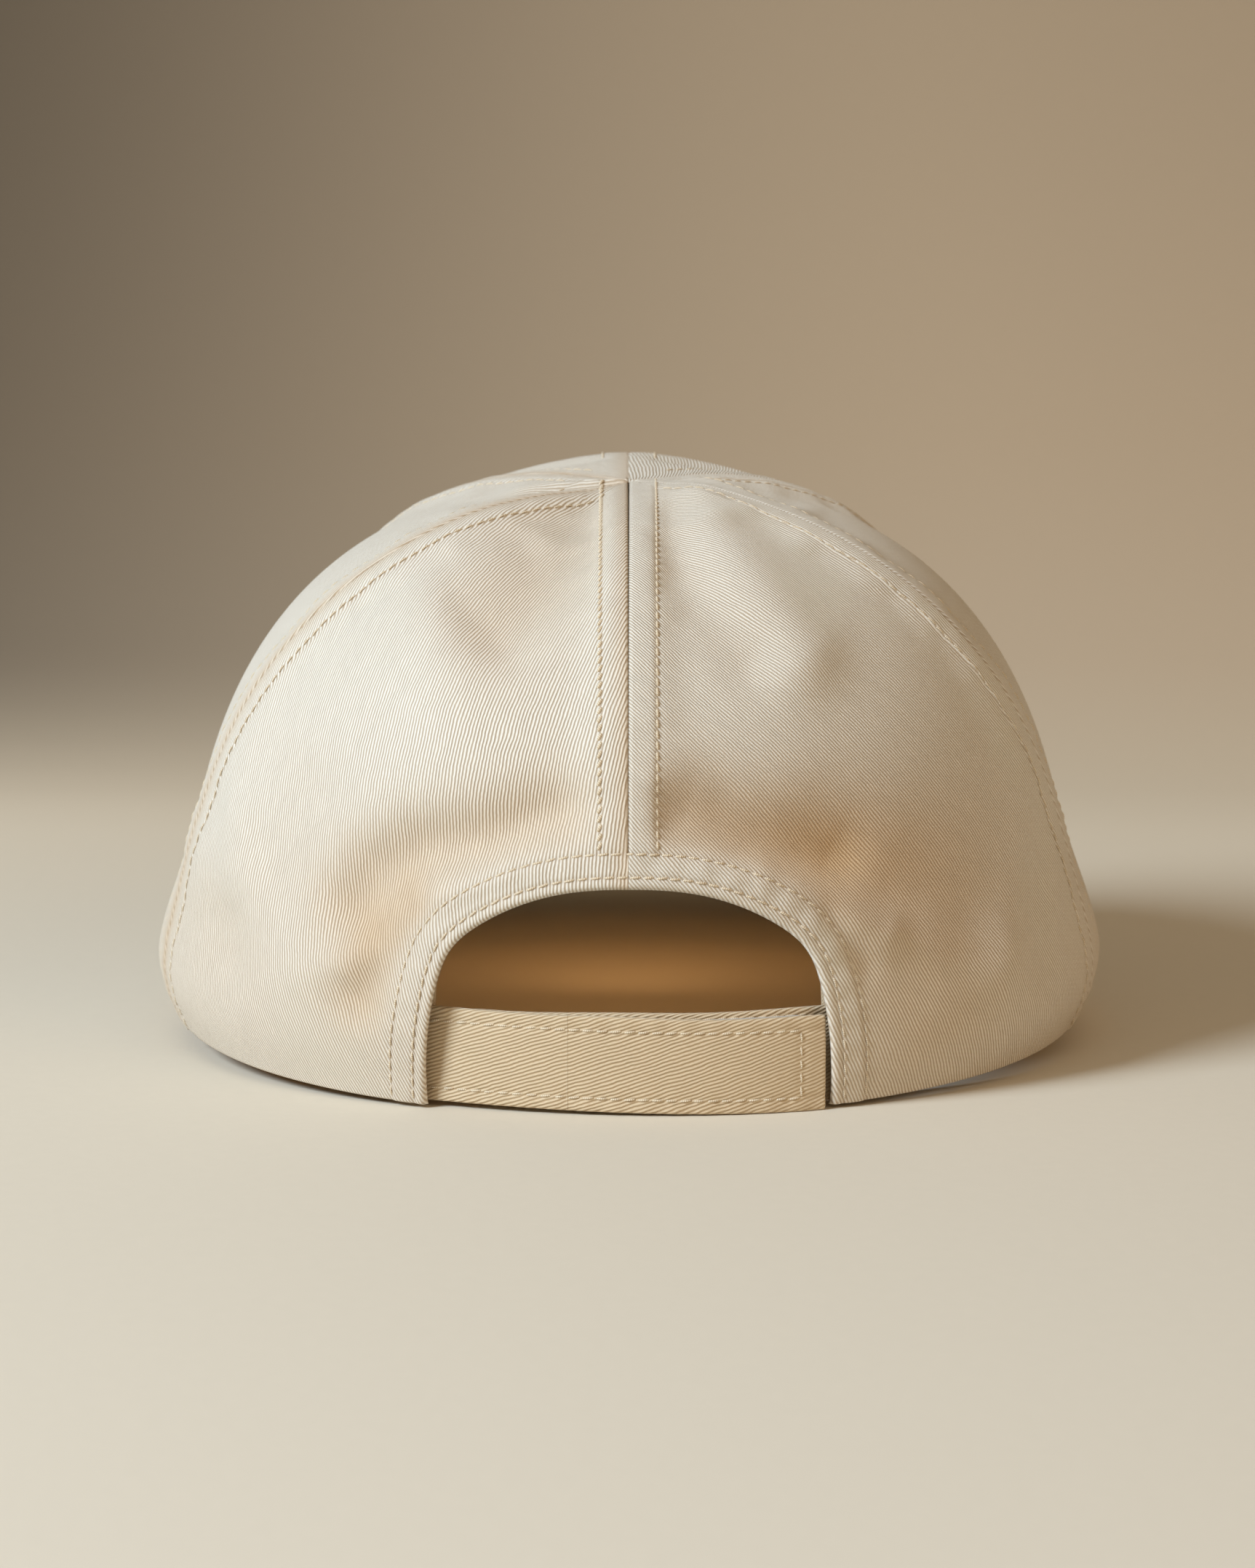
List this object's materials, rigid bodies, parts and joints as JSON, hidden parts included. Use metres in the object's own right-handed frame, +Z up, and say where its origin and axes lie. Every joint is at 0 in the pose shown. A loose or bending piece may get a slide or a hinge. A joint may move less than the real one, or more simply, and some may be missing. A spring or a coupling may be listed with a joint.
{
  "type": "baseball cap",
  "caption": "Low-crown six-panel twill cap with a curved visor and an arched back opening closed by overlapping hook-and-loop straps.",
  "frame": {"origin": "middle of the cap's length and width, on the surface it rests on", "axes": "+Y points forwards along the visor, +Z up, +X to the wearer's right; the back strap faces -Y"},
  "size_m": [0.194, 0.2638, 0.1188],
  "materials": {
    "crown_twill": "cream cotton twill, matte, diagonal ribs",
    "visor_twill": "cream cotton twill stretched over the board",
    "strap_twill": "cream cotton twill, folded and stitched",
    "sweatband_twill": "smooth cotton band, matte",
    "seam_tape": "plain woven cotton tape",
    "buckram": "open stiffened mesh",
    "thread": "twisted polyester sewing thread",
    "visor_plastic": "matte polyethylene board",
    "hook_nylon": "fine nylon hooks",
    "loop_nylon": "brushed nylon loops"
  },
  "bodies": {
    "cap": {"rear_panel_left": "crown_twill", "rear_panel_right": "crown_twill", "side_panel_left": "crown_twill", "side_panel_right": "crown_twill", "front_panel_left": "crown_twill", "front_panel_right": "crown_twill", "front_backing_left": "buckram", "front_backing_right": "buckram", "seam_tape_center": "seam_tape", "seam_tape_rear_left": "seam_tape", "seam_tape_rear_right": "seam_tape", "seam_tape_front_left": "seam_tape", "seam_tape_front_right": "seam_tape", "arch_binding": "seam_tape", "sweatband": "sweatband_twill", "crown_topstitching": "thread", "arch_topstitching": "thread", "visor_board": "visor_plastic", "visor_top_cover": "visor_twill", "visor_under_cover": "visor_twill", "visor_stitching": "thread", "outer_strap_anchor": "strap_twill", "inner_strap_anchor": "strap_twill"},
    "outer_strap": {"outer_strap": "strap_twill", "hook_tape": "hook_nylon"},
    "strap_tab": {"outer_strap_tab": "strap_twill", "hook_tape_tab": "hook_nylon"},
    "inner_strap": {"inner_strap": "strap_twill", "loop_tape": "loop_nylon"}
  },
  "joints": [
    {"name": "outer_strap_peel", "type": "hinge", "parent": "cap", "child": "outer_strap", "pos_m": [-0.0369, -0.12094, 0.00925], "axis": [0, 0, -1], "range_deg": [0, 85]},
    {"name": "strap_tab_lift", "type": "hinge", "parent": "outer_strap", "child": "strap_tab", "pos_m": [0.01698, -0.12938, 0.00925], "axis": [0, 0, -1], "range_deg": [0, 75]},
    {"name": "inner_strap_fold", "type": "hinge", "parent": "cap", "child": "inner_strap", "pos_m": [0.03416, -0.12051, 0.00925], "axis": [0, 0, -1], "range_deg": [0, 85]}
  ]
}
